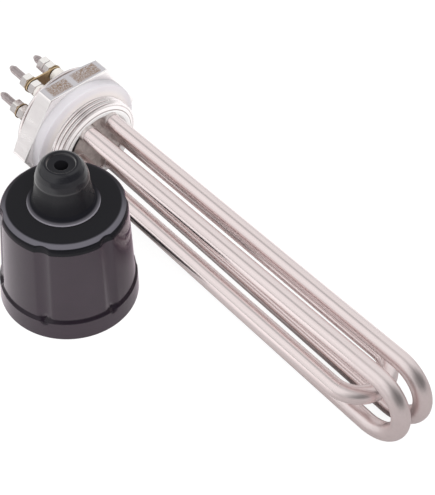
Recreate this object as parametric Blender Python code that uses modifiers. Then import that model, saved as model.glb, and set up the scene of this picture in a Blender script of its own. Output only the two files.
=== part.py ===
"""Screw plug immersion heater lying on a bench, with its terminal cap stood beside it.

Metres, +Z up. The heater is modelled along its own axis and then tilted as it comes to
rest: on the lower front edge of its hexagon and on the lower bends of its elements.
In the heater's own frame X runs from the front face of the hexagon to the bends.
"""

import math

import bmesh
import bpy
from mathutils import Matrix, Vector

# Hexagon plug, turned from one hexagon bar
HEX_SEAT_WIDTH = 0.0061
HEX_THICKNESS = 0.0102
HEX_CHAMFER_INSET = 0.0012
HEX_CHAMFER_ANGLE = math.radians(14.6)
HEX_BLANK_MARGIN = 0.0004
SPIGOT_STEP = 0.0011
SPIGOT_LENGTH = 0.0045
SPIGOT_EDGE = 0.0004
COLLAR_RADIUS = 0.0239
COLLAR_WALL = 0.0040
COLLAR_LENGTH = 0.0142
COLLAR_EDGE_RADIAL = 0.0021
COLLAR_EDGE_AXIAL = 0.0012
PLATE_RECESS = 0.0013
PLATE_EDGE = 0.00025

# Sealing ring on the collar
RING_INSET = 0.0006
RING_THICKNESS = 0.0050
RING_EDGE = 0.0008

# Three U-shaped elements
SHEATH_RADIUS = 0.00425
SHEATH_WALL = 0.0007
SHEATH_TAIL = 0.0063
LOOP_SIDE_SPACING = 0.00687
LOOP_SPREAD = 0.0032
LOOP_TIP = 0.2240
MIDDLE_ROOT_INSET = 0.0014
MIDDLE_SPREAD = 0.0005
MIDDLE_TIP = 0.2060
BEND_SEGMENTS = 10
FILL_FIT = 0.00045
FILL_WALL = 0.0013
COIL_RADIUS = 0.0012
COLD_PIN_END = 0.0120

# Terminals behind the plug
STUD_RADIUS = 0.0020
STUD_TIP_LENGTH = 0.0020
BEAD_RADIUS = 0.0039
BEAD_NOSE_LENGTH = 0.0030
BEAD_EDGE = 0.0004
BEAD_LENGTH = 0.0017
BEAD_LENGTH_MIDDLE = 0.0026
NUT_ACROSS_FLATS = 0.0072
NUT_THICKNESS = 0.0040
NUT_CHAMFER = 0.0005
WASHER_RADIUS = 0.0042
WASHER_THICKNESS = 0.0006
BRIDGE_THICKNESS = 0.0008
BRIDGE_EYE_RADIUS = 0.0040

# Terminal cap, moulded, and its cable grommet
CAP_BORE_CLEARANCE = 0.0004
CAP_SKIRT_WALL = 0.0044
CAP_SKIRT_HEIGHT = 0.0111
CAP_SKIRT_DRAFT = 0.0004
CAP_LEDGE = 0.0011
CAP_TAPER = math.radians(2.5)
CAP_HEIGHT = 0.0574
CAP_SHOULDER_HEIGHT = 0.0034
CAP_SHOULDER_WIDTH = 0.0029
CAP_SHOULDER_SEGMENTS = 5
CAP_THREAD_DEPTH = 0.0090
CAP_CAVITY_STEP = 0.0014
CAP_TOP_WALL = 0.0030
CAP_HOLE_RADIUS = 0.0090
FLUTE_COUNT = 6
FLUTE_RADIUS = 0.0065
FLUTE_DEPTH = 0.0011
FLUTE_POCKET = 0.0006
FLUTE_PHASE = math.radians(58.0)
CAP_PLACE_X = 0.0542
CAP_STANDOFF = 0.00105
GROMMET_HOLE_RADIUS = 0.0030
GROMMET_FOOT_RADIUS = 0.01635
GROMMET_FOOT_HEIGHT = 0.0009
GROMMET_FOOT_EDGE = 0.0004
GROMMET_BODY_RADIUS = 0.0136
GROMMET_BODY_FOOT = 0.0030
GROMMET_CURVE_FOOT = 0.0017
GROMMET_CURVE_WIDTH = 0.0008
GROMMET_NECK_RADIUS = 0.0121
GROMMET_NECK_BAND = 0.0006
GROMMET_HEAD_RADIUS = 0.0124
GROMMET_DOME_START = 0.22
GROMMET_DOME_FULLNESS = 0.8
GROMMET_RIM_RADIUS = 0.0078
GROMMET_RECESS_RADIUS = 0.0064
GROMMET_RECESS_DEPTH = 0.0016
GROMMET_RECESS_EDGE = 0.0002
GROMMET_RECESS_FLARE = 0.0003
GROMMET_NECK_HEIGHT = 0.0106
GROMMET_HEIGHT = 0.0239
GROMMET_FLANGE_RADIUS = 0.0110
GROMMET_FLANGE_THICKNESS = 0.0015
GROMMET_FLANGE_EDGE = 0.0004

# Gap between meshes that touch on the real object, and what a round hole's facets take of it
TOUCH = 0.0003
FACET_MARGIN = 0.00004

# Sizes that follow from the ones above
HEX_FLAT_RADIUS = COLLAR_RADIUS + HEX_SEAT_WIDTH
HEX_CORNER_RADIUS = HEX_FLAT_RADIUS / math.cos(math.radians(30))
HEX_CHAMFER_RADIUS = HEX_FLAT_RADIUS - HEX_CHAMFER_INSET
SPIGOT_RADIUS = HEX_CHAMFER_RADIUS - SPIGOT_STEP
SPIGOT_END = -HEX_THICKNESS - SPIGOT_LENGTH
PLATE_FACE = COLLAR_LENGTH - PLATE_RECESS
TUBE_HOLE_RADIUS = SHEATH_RADIUS + TOUCH + FACET_MARGIN
PLATE_BORE_RADIUS = COLLAR_RADIUS - COLLAR_WALL
LOOP_ROOT_REACH = PLATE_BORE_RADIUS - TUBE_HOLE_RADIUS - PLATE_EDGE
LOOP_ROOT_HALF = math.sqrt(LOOP_ROOT_REACH ** 2 - LOOP_SIDE_SPACING ** 2)
MIDDLE_ROOT_HALF = PLATE_BORE_RADIUS - TUBE_HOLE_RADIUS - MIDDLE_ROOT_INSET
LOOP_BEND_RADIUS = LOOP_ROOT_HALF + LOOP_SPREAD
MIDDLE_BEND_RADIUS = MIDDLE_ROOT_HALF + MIDDLE_SPREAD
SHEATH_END = SPIGOT_END - SHEATH_TAIL
SHEATH_BORE = SHEATH_RADIUS - SHEATH_WALL
FILL_RADIUS = SHEATH_BORE - FILL_FIT
NOSE_RADIUS = SHEATH_BORE - FILL_FIT
FILL_END = SHEATH_END + BEAD_NOSE_LENGTH + 2 * TOUCH
STUD_HOLE_RADIUS = STUD_RADIUS + TOUCH
BEAD_LENGTH_LONG = BEAD_LENGTH + TOUCH + NUT_THICKNESS
LOOP_BEND_X = LOOP_TIP - SHEATH_RADIUS - LOOP_BEND_RADIUS
MIDDLE_BEND_X = MIDDLE_TIP - SHEATH_RADIUS - MIDDLE_BEND_RADIUS
LOOP_REACH = LOOP_BEND_RADIUS + SHEATH_RADIUS
REST_TILT = (math.atan2(HEX_FLAT_RADIUS, LOOP_BEND_X)
             - math.asin(LOOP_REACH / math.hypot(HEX_FLAT_RADIUS, LOOP_BEND_X)))
REST_HEIGHT = HEX_FLAT_RADIUS * math.cos(REST_TILT)
RING_INNER_RADIUS = COLLAR_RADIUS + TOUCH
RING_OUTER_RADIUS = HEX_FLAT_RADIUS - RING_INSET
RING_FRONT = RING_THICKNESS + TOUCH
CAP_BORE_RADIUS = SPIGOT_RADIUS + CAP_BORE_CLEARANCE
CAP_SKIRT_RADIUS = CAP_BORE_RADIUS + CAP_SKIRT_WALL
CAP_BODY_RADIUS = CAP_SKIRT_RADIUS - CAP_SKIRT_DRAFT - CAP_LEDGE
CAP_SHOULDER_Z = CAP_HEIGHT - CAP_SHOULDER_HEIGHT
CAP_SHOULDER_RADIUS = CAP_BODY_RADIUS - (CAP_SHOULDER_Z - CAP_SKIRT_HEIGHT) * math.tan(CAP_TAPER)
CAP_CAVITY_RADIUS = CAP_BORE_RADIUS - CAP_CAVITY_STEP
CAP_CAVITY_TOP = CAP_HEIGHT - CAP_TOP_WALL
CAP_PLACE_Y = -(MIDDLE_BEND_RADIUS + SHEATH_RADIUS + CAP_SKIRT_RADIUS + CAP_STANDOFF)

# Each terminal: its name, its place across the plug, how far its stud reaches behind the
# hexagon's front face, its bead's length and what is screwed on it from the bead outwards
TERMINALS = (
    ("front_upper", -LOOP_SIDE_SPACING, LOOP_ROOT_HALF, 0.0460, BEAD_LENGTH,
     ("inner_nut", "bridge", "washer", "outer_nut")),
    ("front_lower", -LOOP_SIDE_SPACING, -LOOP_ROOT_HALF, 0.0445, BEAD_LENGTH,
     ("inner_nut", "washer", "outer_nut")),
    ("rear_upper", LOOP_SIDE_SPACING, LOOP_ROOT_HALF, 0.0446, BEAD_LENGTH_LONG,
     ("bridge", "washer", "inner_nut", "outer_nut")),
    ("rear_lower", LOOP_SIDE_SPACING, -LOOP_ROOT_HALF, 0.0448, BEAD_LENGTH,
     ("inner_nut", "washer", "outer_nut")),
    ("middle_front", -MIDDLE_ROOT_HALF, 0.0, 0.0455, BEAD_LENGTH_MIDDLE,
     ("inner_nut", "washer", "outer_nut")),
    ("middle_rear", MIDDLE_ROOT_HALF, 0.0, 0.0450, BEAD_LENGTH_LONG,
     ("bridge", "washer", "inner_nut", "outer_nut")),
)


def clear_scene():
    """Start from an empty scene."""
    for obj in list(bpy.data.objects):
        bpy.data.objects.remove(obj, do_unlink=True)
    for collection in list(bpy.data.collections):
        bpy.data.collections.remove(collection)


def make_collection(name):
    """A collection linked to the scene."""
    collection = bpy.data.collections.new(name)
    bpy.context.scene.collection.children.link(collection)
    return collection


def make_material(name, colour, roughness, metallic):
    """A Principled material with one colour."""
    material = bpy.data.materials.new(name)
    material.use_nodes = True
    shader = material.node_tree.nodes["Principled BSDF"]
    shader.inputs["Base Color"].default_value = (*colour, 1.0)
    shader.inputs["Roughness"].default_value = roughness
    shader.inputs["Metallic"].default_value = metallic
    return material


def make_frame(name, parent=None):
    """An empty that carries the pieces parented to it."""
    frame = bpy.data.objects.new(name, None)
    PARTS.objects.link(frame)
    frame.parent = parent
    return frame


def add_piece(name, data, material, frame):
    """One named object of the heater."""
    obj = bpy.data.objects.new(name, data)
    obj.parent = frame
    data.materials.clear()
    data.materials.append(material)
    PARTS.objects.link(obj)
    return obj


def add_cutter(name, mesh, frame):
    """An object that only shapes others."""
    obj = bpy.data.objects.new(name, mesh)
    obj.parent = frame
    obj.hide_render = True
    obj.display_type = "WIRE"
    CUTTERS.objects.link(obj)
    return obj


def point_along_axis(obj, y=0.0, z=0.0):
    """Turn a piece modelled along its local Z so that it lies along the heater's X."""
    obj.rotation_euler = (0.0, math.radians(90), 0.0)
    obj.location = (0.0, y, z)


def profile_mesh(name, points, closed):
    """A profile of (radius, height) points in the XZ plane, as edges to be turned."""
    count = len(points)
    edges = [(index, index + 1) for index in range(count - 1)]
    if closed:
        edges.append((count - 1, 0))
    mesh = bpy.data.meshes.new(name)
    mesh.from_pydata([(radius, 0.0, height) for radius, height in points], edges, [])
    return mesh


def turn(obj, steps):
    """Turn a profile round its local Z."""
    screw = obj.modifiers.new("Turned", "SCREW")
    screw.axis = "Z"
    screw.steps = steps
    screw.render_steps = steps
    screw.use_merge_vertices = True
    screw.merge_threshold = 0.000001
    screw.use_smooth_shade = True


def boolean(obj, operation, cutter):
    """An exact Boolean with one cutter."""
    modifier = obj.modifiers.new(cutter.name, "BOOLEAN")
    modifier.operation = operation
    modifier.solver = "EXACT"
    modifier.object = cutter


def cylinder_group(name, radius, depth, segments, matrices):
    """Equal cylinders along local Z, one for each matrix, in one mesh."""
    mesh = bpy.data.meshes.new(name)
    shape = bmesh.new()
    for matrix in matrices:
        bmesh.ops.create_cone(shape, cap_ends=True, segments=segments, radius1=radius,
                              radius2=radius, depth=depth, matrix=matrix)
    shape.to_mesh(mesh)
    shape.free()
    return mesh


def arc(centre_x, centre_y, radius, start, end, segments):
    """Points on an arc, from the angle start to the angle end in degrees."""
    points = []
    for index in range(segments + 1):
        angle = math.radians(start + (end - start) * index / segments)
        points.append((centre_x + radius * math.cos(angle), centre_y + radius * math.sin(angle)))
    return points


def loop_path(start_x, root_half, bend_radius, bend_x):
    """One element's centre line as (x, across): two legs that spread a little, and a bend."""
    leg = [(start_x, root_half), (COLLAR_LENGTH, root_half)]
    bend = arc(bend_x, 0.0, bend_radius, 90, -90, BEND_SEGMENTS)
    back = [(x, -across) for x, across in reversed(leg)]
    return leg + bend + back


def element_path(element, start_x):
    """The centre line of a named element in the heater's frame."""
    if element == "middle":
        path = loop_path(start_x, MIDDLE_ROOT_HALF, MIDDLE_BEND_RADIUS, MIDDLE_BEND_X)
        return [(x, across, 0.0) for x, across in path]
    side = -LOOP_SIDE_SPACING if element == "front" else LOOP_SIDE_SPACING
    path = loop_path(start_x, LOOP_ROOT_HALF, LOOP_BEND_RADIUS, LOOP_BEND_X)
    return [(x, side, across) for x, across in path]


def rod_curve(name, points, radius, resolution, capped):
    """A curve with a round section along the given points."""
    curve = bpy.data.curves.new(name, "CURVE")
    curve.dimensions = "3D"
    curve.bevel_depth = radius
    curve.bevel_resolution = resolution
    curve.use_fill_caps = capped
    spline = curve.splines.new("POLY")
    spline.points.add(len(points) - 1)
    for point, place in zip(spline.points, points):
        point.co = (*place, 1.0)
    return curve


def give_wall(obj, thickness):
    """A wall of the given thickness inside an open surface."""
    solidify = obj.modifiers.new("Wall", "SOLIDIFY")
    solidify.thickness = thickness
    solidify.offset = -1.0
    solidify.use_even_offset = True
    solidify.use_rim = True


def build_plug(frame):
    """Hexagon, threaded collar, tube plate and cap spigot, turned and milled from one bar."""
    blank_radius = HEX_CORNER_RADIUS + HEX_BLANK_MARGIN
    chamfer_length = (blank_radius - HEX_CHAMFER_RADIUS) * math.tan(HEX_CHAMFER_ANGLE)
    profile = [
        (0.0, PLATE_FACE),
        (PLATE_BORE_RADIUS, PLATE_FACE),
        (PLATE_BORE_RADIUS, COLLAR_LENGTH),
        (COLLAR_RADIUS - COLLAR_EDGE_RADIAL, COLLAR_LENGTH),
        (COLLAR_RADIUS, COLLAR_LENGTH - COLLAR_EDGE_AXIAL),
        (COLLAR_RADIUS, 0.0),
        (blank_radius, 0.0),
        (blank_radius, -HEX_THICKNESS + chamfer_length),
        (HEX_CHAMFER_RADIUS, -HEX_THICKNESS),
        (SPIGOT_RADIUS, -HEX_THICKNESS),
        (SPIGOT_RADIUS, SPIGOT_END + SPIGOT_EDGE),
        (SPIGOT_RADIUS - SPIGOT_EDGE, SPIGOT_END),
        (0.0, SPIGOT_END),
    ]
    steel = make_material("plug_steel", (0.72, 0.70, 0.69), 0.35, 1.0)
    plug = add_piece("hex_plug", profile_mesh("hex_plug", profile, False), steel, frame)
    point_along_axis(plug)
    turn(plug, 48)

    reach = COLLAR_LENGTH + HEX_THICKNESS + SPIGOT_LENGTH + SHEATH_TAIL
    flats = cylinder_group("hexagon_bar", HEX_CORNER_RADIUS, 4 * reach, 6, [Matrix()])
    hexagon = add_cutter("hexagon_bar", flats, frame)
    point_along_axis(hexagon)
    boolean(plug, "INTERSECT", hexagon)

    places = [Matrix.Translation((-z, y, 0.0)) for _, y, z, _, _, _ in TERMINALS]
    holes = add_cutter("tube_holes", cylinder_group("tube_holes", TUBE_HOLE_RADIUS, 4 * reach,
                                                    20, places), frame)
    point_along_axis(holes)
    boolean(plug, "DIFFERENCE", holes)


def build_sealing_ring(frame):
    """Soft ring that sits on the collar against the hexagon's front face."""
    front = RING_FRONT
    outer = RING_OUTER_RADIUS
    profile = [
        (RING_INNER_RADIUS, front),
        (outer - 2 * RING_EDGE, front),
        (outer - 0.3 * RING_EDGE, front - 0.4 * RING_EDGE),
        (outer, front - 1.2 * RING_EDGE),
        (outer, TOUCH + 1.2 * RING_EDGE),
        (outer - 0.3 * RING_EDGE, TOUCH + 0.4 * RING_EDGE),
        (outer - 1.2 * RING_EDGE, TOUCH),
        (RING_INNER_RADIUS, TOUCH),
    ]
    silicone = make_material("ring_silicone", (0.80, 0.78, 0.80), 0.5, 0.0)
    ring = add_piece("sealing_ring", profile_mesh("sealing_ring", profile, True), silicone, frame)
    point_along_axis(ring)
    turn(ring, 40)


def build_elements(frame):
    """Three sheathed elements: a tube, the powder packed in it and the coil in the powder."""
    sheath_steel = make_material("sheath_steel", (0.66, 0.62, 0.60), 0.3, 1.0)
    powder = make_material("magnesia", (0.85, 0.84, 0.80), 0.9, 0.0)
    wire = make_material("resistance_wire", (0.36, 0.34, 0.33), 0.5, 1.0)
    for element in ("front", "rear", "middle"):
        path = element_path(element, SHEATH_END)
        sheath = add_piece(f"sheath_{element}",
                           rod_curve(f"sheath_{element}", path, SHEATH_RADIUS, 4, False),
                           sheath_steel, frame)
        give_wall(sheath, SHEATH_WALL)

        path = element_path(element, FILL_END)
        fill = add_piece(f"magnesia_fill_{element}",
                         rod_curve(f"magnesia_fill_{element}", path, FILL_RADIUS, 2, False),
                         powder, frame)
        give_wall(fill, FILL_WALL)

        path = element_path(element, COLD_PIN_END + TOUCH)
        coil = rod_curve(f"heating_coil_{element}", path, COIL_RADIUS, 1, True)
        add_piece(f"heating_coil_{element}", coil, wire, frame)


def nut_mesh(name):
    """A chamfered nut along local Z: hexagon and circles lofted at twelve places round."""
    half = NUT_THICKNESS / 2
    flat = NUT_ACROSS_FLATS / 2
    corner = flat / math.cos(math.radians(30))
    inner = STUD_HOLE_RADIUS / math.cos(math.radians(15))
    rings = (
        (inner, inner, half, half),
        (flat, flat, half, half),
        (corner, flat, half - NUT_CHAMFER, half - 0.05 * NUT_CHAMFER),
        (corner, flat, -half + NUT_CHAMFER, -half + 0.05 * NUT_CHAMFER),
        (flat, flat, -half, -half),
        (inner, inner, -half, -half),
    )
    mesh = bpy.data.meshes.new(name)
    shape = bmesh.new()
    loops = []
    for corner_radius, flat_radius, corner_z, flat_z in rings:
        loop = []
        for index in range(12):
            angle = math.radians(30 * index)
            radius = flat_radius if index % 2 else corner_radius
            height = flat_z if index % 2 else corner_z
            loop.append(shape.verts.new((radius * math.cos(angle), radius * math.sin(angle),
                                         height)))
        loops.append(loop)
    for upper, lower in zip(loops, loops[1:] + loops[:1]):
        for index in range(12):
            after = (index + 1) % 12
            shape.faces.new((upper[index], lower[index], lower[after], upper[after]))
    bmesh.ops.recalc_face_normals(shape, faces=shape.faces)
    shape.to_mesh(mesh)
    shape.free()
    return mesh


def stud_profile(reach):
    """A threaded stud with a thin pin at its inner end, from the pin to the pointed tip."""
    return [
        (0.0, COLD_PIN_END),
        (COIL_RADIUS, COLD_PIN_END),
        (COIL_RADIUS, FILL_END - TOUCH),
        (STUD_RADIUS, FILL_END - 2 * TOUCH),
        (STUD_RADIUS, -reach + STUD_TIP_LENGTH),
        (0.7 * STUD_RADIUS, -reach + 0.35 * STUD_TIP_LENGTH),
        (0.0, -reach),
    ]


def bead_profile(length):
    """An insulating bead whose nose enters the tube and whose collar closes its end."""
    nose = SHEATH_END + BEAD_NOSE_LENGTH
    shoulder = SHEATH_END - TOUCH
    seat = shoulder - length
    edge = min(BEAD_EDGE, length / 2)
    return [
        (STUD_HOLE_RADIUS, nose),
        (NOSE_RADIUS, nose),
        (NOSE_RADIUS, shoulder),
        (BEAD_RADIUS, shoulder),
        (BEAD_RADIUS, seat + edge),
        (BEAD_RADIUS - edge, seat),
        (STUD_HOLE_RADIUS, seat),
    ]


def build_terminals(frame):
    """Studs, beads, nuts and washers. Returns how far back the bridge lies at each stud."""
    steel = make_material("stud_steel", (0.45, 0.42, 0.43), 0.45, 1.0)
    ceramic = make_material("bead_ceramic", (0.78, 0.76, 0.72), 0.6, 0.0)
    plated = make_material("nut_plating", (0.80, 0.76, 0.70), 0.25, 1.0)
    brass = make_material("washer_brass", (0.62, 0.47, 0.28), 0.35, 1.0)
    nut = nut_mesh("terminal_nut")
    washer_profile = [
        (STUD_HOLE_RADIUS, WASHER_THICKNESS / 2),
        (WASHER_RADIUS, WASHER_THICKNESS / 2),
        (WASHER_RADIUS, -WASHER_THICKNESS / 2),
        (STUD_HOLE_RADIUS, -WASHER_THICKNESS / 2),
    ]
    washer = profile_mesh("washer", washer_profile, True)
    thickness = {"inner_nut": NUT_THICKNESS, "outer_nut": NUT_THICKNESS,
                 "washer": WASHER_THICKNESS, "bridge": BRIDGE_THICKNESS}
    bridge_places = {}
    for name, y, z, reach, bead_length, stack in TERMINALS:
        stud = add_piece(f"terminal_stud_{name}",
                         profile_mesh(f"terminal_stud_{name}", stud_profile(reach), False),
                         steel, frame)
        point_along_axis(stud, y, z)
        turn(stud, 10)

        bead = add_piece(f"insulator_{name}",
                         profile_mesh(f"insulator_{name}", bead_profile(bead_length), True),
                         ceramic, frame)
        point_along_axis(bead, y, z)
        turn(bead, 12)

        seat = SHEATH_END - TOUCH - bead_length
        for kind in stack:
            middle = seat - TOUCH - thickness[kind] / 2
            seat = middle - thickness[kind] / 2
            if kind == "bridge":
                bridge_places[name] = (middle, y, z)
                continue
            mesh = washer if kind == "washer" else nut
            material = brass if kind == "washer" else plated
            piece = add_piece(f"{kind}_{name}", mesh, material, frame)
            point_along_axis(piece, y, z)
            piece.location.x = middle
            if kind == "washer":
                turn(piece, 12)
    return bridge_places


def strap_outline(name, start, end, frame):
    """A prism along X with round ends, from one stud's (y, z) to another's."""
    first = Vector(start)
    second = Vector(end)
    direction = (second - first).normalized()
    heading = math.degrees(math.atan2(direction.y, direction.x))
    outline = arc(second.x, second.y, BRIDGE_EYE_RADIUS, heading - 90, heading + 90, 8)
    outline += arc(first.x, first.y, BRIDGE_EYE_RADIUS, heading + 90, heading + 270, 8)
    depth = SPIGOT_END - BEAD_LENGTH_LONG
    mesh = bpy.data.meshes.new(name)
    shape = bmesh.new()
    face = shape.faces.new([shape.verts.new((0.0, y, z)) for y, z in outline])
    swept = bmesh.ops.extrude_face_region(shape, geom=[face])
    corners = [item for item in swept["geom"] if isinstance(item, bmesh.types.BMVert)]
    bmesh.ops.translate(shape, verts=corners, vec=(3 * depth, 0.0, 0.0))
    bmesh.ops.recalc_face_normals(shape, faces=shape.faces)
    shape.to_mesh(mesh)
    shape.free()
    return add_cutter(name, mesh, frame)


def build_bridge(frame, places):
    """One flat strap that joins three studs, with an eye round each."""
    level = places["front_upper"][0]
    first, corner, last = (places[name][1:] for name in ("front_upper", "rear_upper", "middle_rear"))
    margin = 2 * BRIDGE_EYE_RADIUS
    low_y = min(first[0], corner[0], last[0]) - margin
    high_y = max(first[0], corner[0], last[0]) + margin
    low_z = min(first[1], corner[1], last[1]) - margin
    high_z = max(first[1], corner[1], last[1]) + margin
    verts = [(level, low_y, low_z), (level, high_y, low_z), (level, high_y, high_z),
             (level, low_y, high_z)]
    mesh = bpy.data.meshes.new("bridge_link")
    mesh.from_pydata(verts, [], [(0, 1, 2, 3)])
    brass = make_material("bridge_brass", (0.60, 0.44, 0.25), 0.35, 1.0)
    bridge = add_piece("bridge_link", mesh, brass, frame)
    sheet = bridge.modifiers.new("Sheet", "SOLIDIFY")
    sheet.thickness = BRIDGE_THICKNESS
    sheet.offset = 0.0

    first_arm = strap_outline("bridge_first_arm", first, corner, frame)
    second_arm = strap_outline("bridge_second_arm", corner, last, frame)
    boolean(first_arm, "UNION", second_arm)
    boolean(bridge, "INTERSECT", first_arm)

    spots = [Matrix.Translation((-z, y, 0.0)) for _, y, z in places.values()]
    reach = 4 * (HEX_THICKNESS + BEAD_LENGTH_LONG + SHEATH_TAIL + NUT_THICKNESS)
    eyes = add_cutter("bridge_eyes", cylinder_group("bridge_eyes", STUD_HOLE_RADIUS, reach,
                                                    16, spots), frame)
    point_along_axis(eyes)
    boolean(bridge, "DIFFERENCE", eyes)


def build_cap(frame):
    """Moulded cap, stood on its mouth: a threaded skirt, a drafted body and six grip flutes."""
    shoulder = []
    for across, up in arc(0.0, 0.0, 1.0, 90, 0, CAP_SHOULDER_SEGMENTS):
        shoulder.append((CAP_SHOULDER_RADIUS - CAP_SHOULDER_WIDTH * (1 - across),
                         CAP_SHOULDER_Z + CAP_SHOULDER_HEIGHT * up))
    profile = [(CAP_HOLE_RADIUS, CAP_HEIGHT)] + shoulder + [
        (CAP_BODY_RADIUS, CAP_SKIRT_HEIGHT),
        (CAP_SKIRT_RADIUS - CAP_SKIRT_DRAFT - 0.4 * CAP_LEDGE, CAP_SKIRT_HEIGHT),
        (CAP_SKIRT_RADIUS - CAP_SKIRT_DRAFT, CAP_SKIRT_HEIGHT - 0.5 * CAP_LEDGE),
        (CAP_SKIRT_RADIUS, 0.0),
        (CAP_BORE_RADIUS, 0.0),
        (CAP_BORE_RADIUS, CAP_THREAD_DEPTH),
        (CAP_CAVITY_RADIUS, CAP_THREAD_DEPTH + CAP_CAVITY_STEP),
        (CAP_CAVITY_RADIUS, CAP_CAVITY_TOP),
        (CAP_HOLE_RADIUS, CAP_CAVITY_TOP),
    ]
    plastic = make_material("cap_plastic", (0.022, 0.021, 0.024), 0.28, 0.0)
    cap = add_piece("terminal_cap", profile_mesh("terminal_cap", profile, True), plastic, frame)
    turn(cap, 48)

    length = 2 * (CAP_HEIGHT - CAP_SKIRT_HEIGHT)
    foot_z = CAP_SKIRT_HEIGHT - FLUTE_POCKET
    offset = FLUTE_RADIUS - FLUTE_DEPTH
    middle_x = (CAP_BODY_RADIUS - length / 2 * math.sin(CAP_TAPER)
                + offset / math.cos(CAP_TAPER))
    middle_z = foot_z + length / 2 * math.cos(CAP_TAPER)
    stand = (Matrix.Translation((middle_x, 0.0, middle_z))
             @ Matrix.Rotation(-CAP_TAPER, 4, "Y"))
    places = []
    for index in range(FLUTE_COUNT):
        angle = FLUTE_PHASE + 2 * math.pi * index / FLUTE_COUNT
        places.append(Matrix.Rotation(angle, 4, "Z") @ stand)
    flutes = add_cutter("grip_flutes", cylinder_group("grip_flutes", FLUTE_RADIUS, length, 32,
                                                      places), frame)
    boolean(cap, "DIFFERENCE", flutes)


def build_grommet(frame):
    """Rubber cable grommet, gripped in the cap's top wall by a neck between two flanges."""
    foot = CAP_HEIGHT + TOUCH
    under = CAP_CAVITY_TOP - TOUCH
    neck = CAP_HEIGHT + GROMMET_NECK_HEIGHT
    top = CAP_HEIGHT + GROMMET_HEIGHT
    head = top - neck
    stem = CAP_HOLE_RADIUS - TOUCH
    crown = []
    for across, up in arc(0.0, 0.0, 1.0, 66, 6, 5):
        crown.append((GROMMET_HEAD_RADIUS * across ** GROMMET_DOME_FULLNESS,
                      neck + head * (GROMMET_DOME_START + (1 - GROMMET_DOME_START) * up)))
    crown[0] = (GROMMET_RIM_RADIUS, top)
    profile = [
        (GROMMET_HOLE_RADIUS, top - GROMMET_RECESS_DEPTH),
        (GROMMET_RECESS_RADIUS, top - GROMMET_RECESS_DEPTH),
        (GROMMET_RECESS_RADIUS, top - GROMMET_RECESS_EDGE),
        (GROMMET_RECESS_RADIUS + GROMMET_RECESS_FLARE, top),
    ] + crown + [
        (GROMMET_NECK_RADIUS, neck + GROMMET_NECK_BAND),
        (GROMMET_NECK_RADIUS, neck - GROMMET_NECK_BAND),
        ((GROMMET_NECK_RADIUS + GROMMET_BODY_RADIUS) / 2, neck - 3 * GROMMET_NECK_BAND),
        (GROMMET_BODY_RADIUS, foot + GROMMET_BODY_FOOT),
        (GROMMET_BODY_RADIUS + GROMMET_CURVE_WIDTH, foot + GROMMET_CURVE_FOOT),
        (GROMMET_FOOT_RADIUS - GROMMET_FOOT_EDGE, foot + GROMMET_FOOT_HEIGHT),
        (GROMMET_FOOT_RADIUS, foot + 0.5 * GROMMET_FOOT_HEIGHT),
        (GROMMET_FOOT_RADIUS, foot),
        (stem, foot),
        (stem, under),
        (GROMMET_FLANGE_RADIUS, under),
        (GROMMET_FLANGE_RADIUS - GROMMET_FLANGE_EDGE, under - GROMMET_FLANGE_THICKNESS),
        (GROMMET_HOLE_RADIUS, under - GROMMET_FLANGE_THICKNESS),
    ]
    rubber = make_material("grommet_rubber", (0.018, 0.018, 0.020), 0.4, 0.0)
    grommet = add_piece("cable_grommet", profile_mesh("cable_grommet", profile, True),
                        rubber, frame)
    turn(grommet, 24)


def centre_on_floor(frame):
    """Move the whole part so that its origin is the middle of its underside."""
    bpy.context.view_layer.update()
    graph = bpy.context.evaluated_depsgraph_get()
    low = Vector((math.inf, math.inf, math.inf))
    high = -low
    for obj in PARTS.objects:
        if obj.type == "EMPTY":
            continue
        shaped = obj.evaluated_get(graph)
        mesh = shaped.to_mesh()
        for vertex in mesh.vertices:
            place = shaped.matrix_world @ vertex.co
            low = Vector(map(min, low, place))
            high = Vector(map(max, high, place))
        shaped.to_mesh_clear()
    frame.location = (-(low.x + high.x) / 2, -(low.y + high.y) / 2, -low.z)


clear_scene()
PARTS = make_collection("screw_plug_immersion_heater")
CUTTERS = make_collection("cutters")

bench = make_frame("bench")
heater_axis = make_frame("heater_axis", bench)
heater_axis.location = (0.0, 0.0, REST_HEIGHT)
heater_axis.rotation_euler = (0.0, REST_TILT, 0.0)
cap_axis = make_frame("cap_axis", bench)
cap_axis.location = (CAP_PLACE_X, CAP_PLACE_Y, 0.0)

build_plug(heater_axis)
build_sealing_ring(heater_axis)
build_elements(heater_axis)
build_bridge(heater_axis, build_terminals(heater_axis))
build_cap(cap_axis)
build_grommet(cap_axis)
centre_on_floor(bench)
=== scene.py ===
"""Looks of the screw plug immersion heater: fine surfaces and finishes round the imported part.

Lengths are in metres. The heater's own frame has X from the hexagon's front face to the
bends, Y across and Z up; heater_to_world() tilts it as the part lies on its bench.
"""

import math

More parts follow.
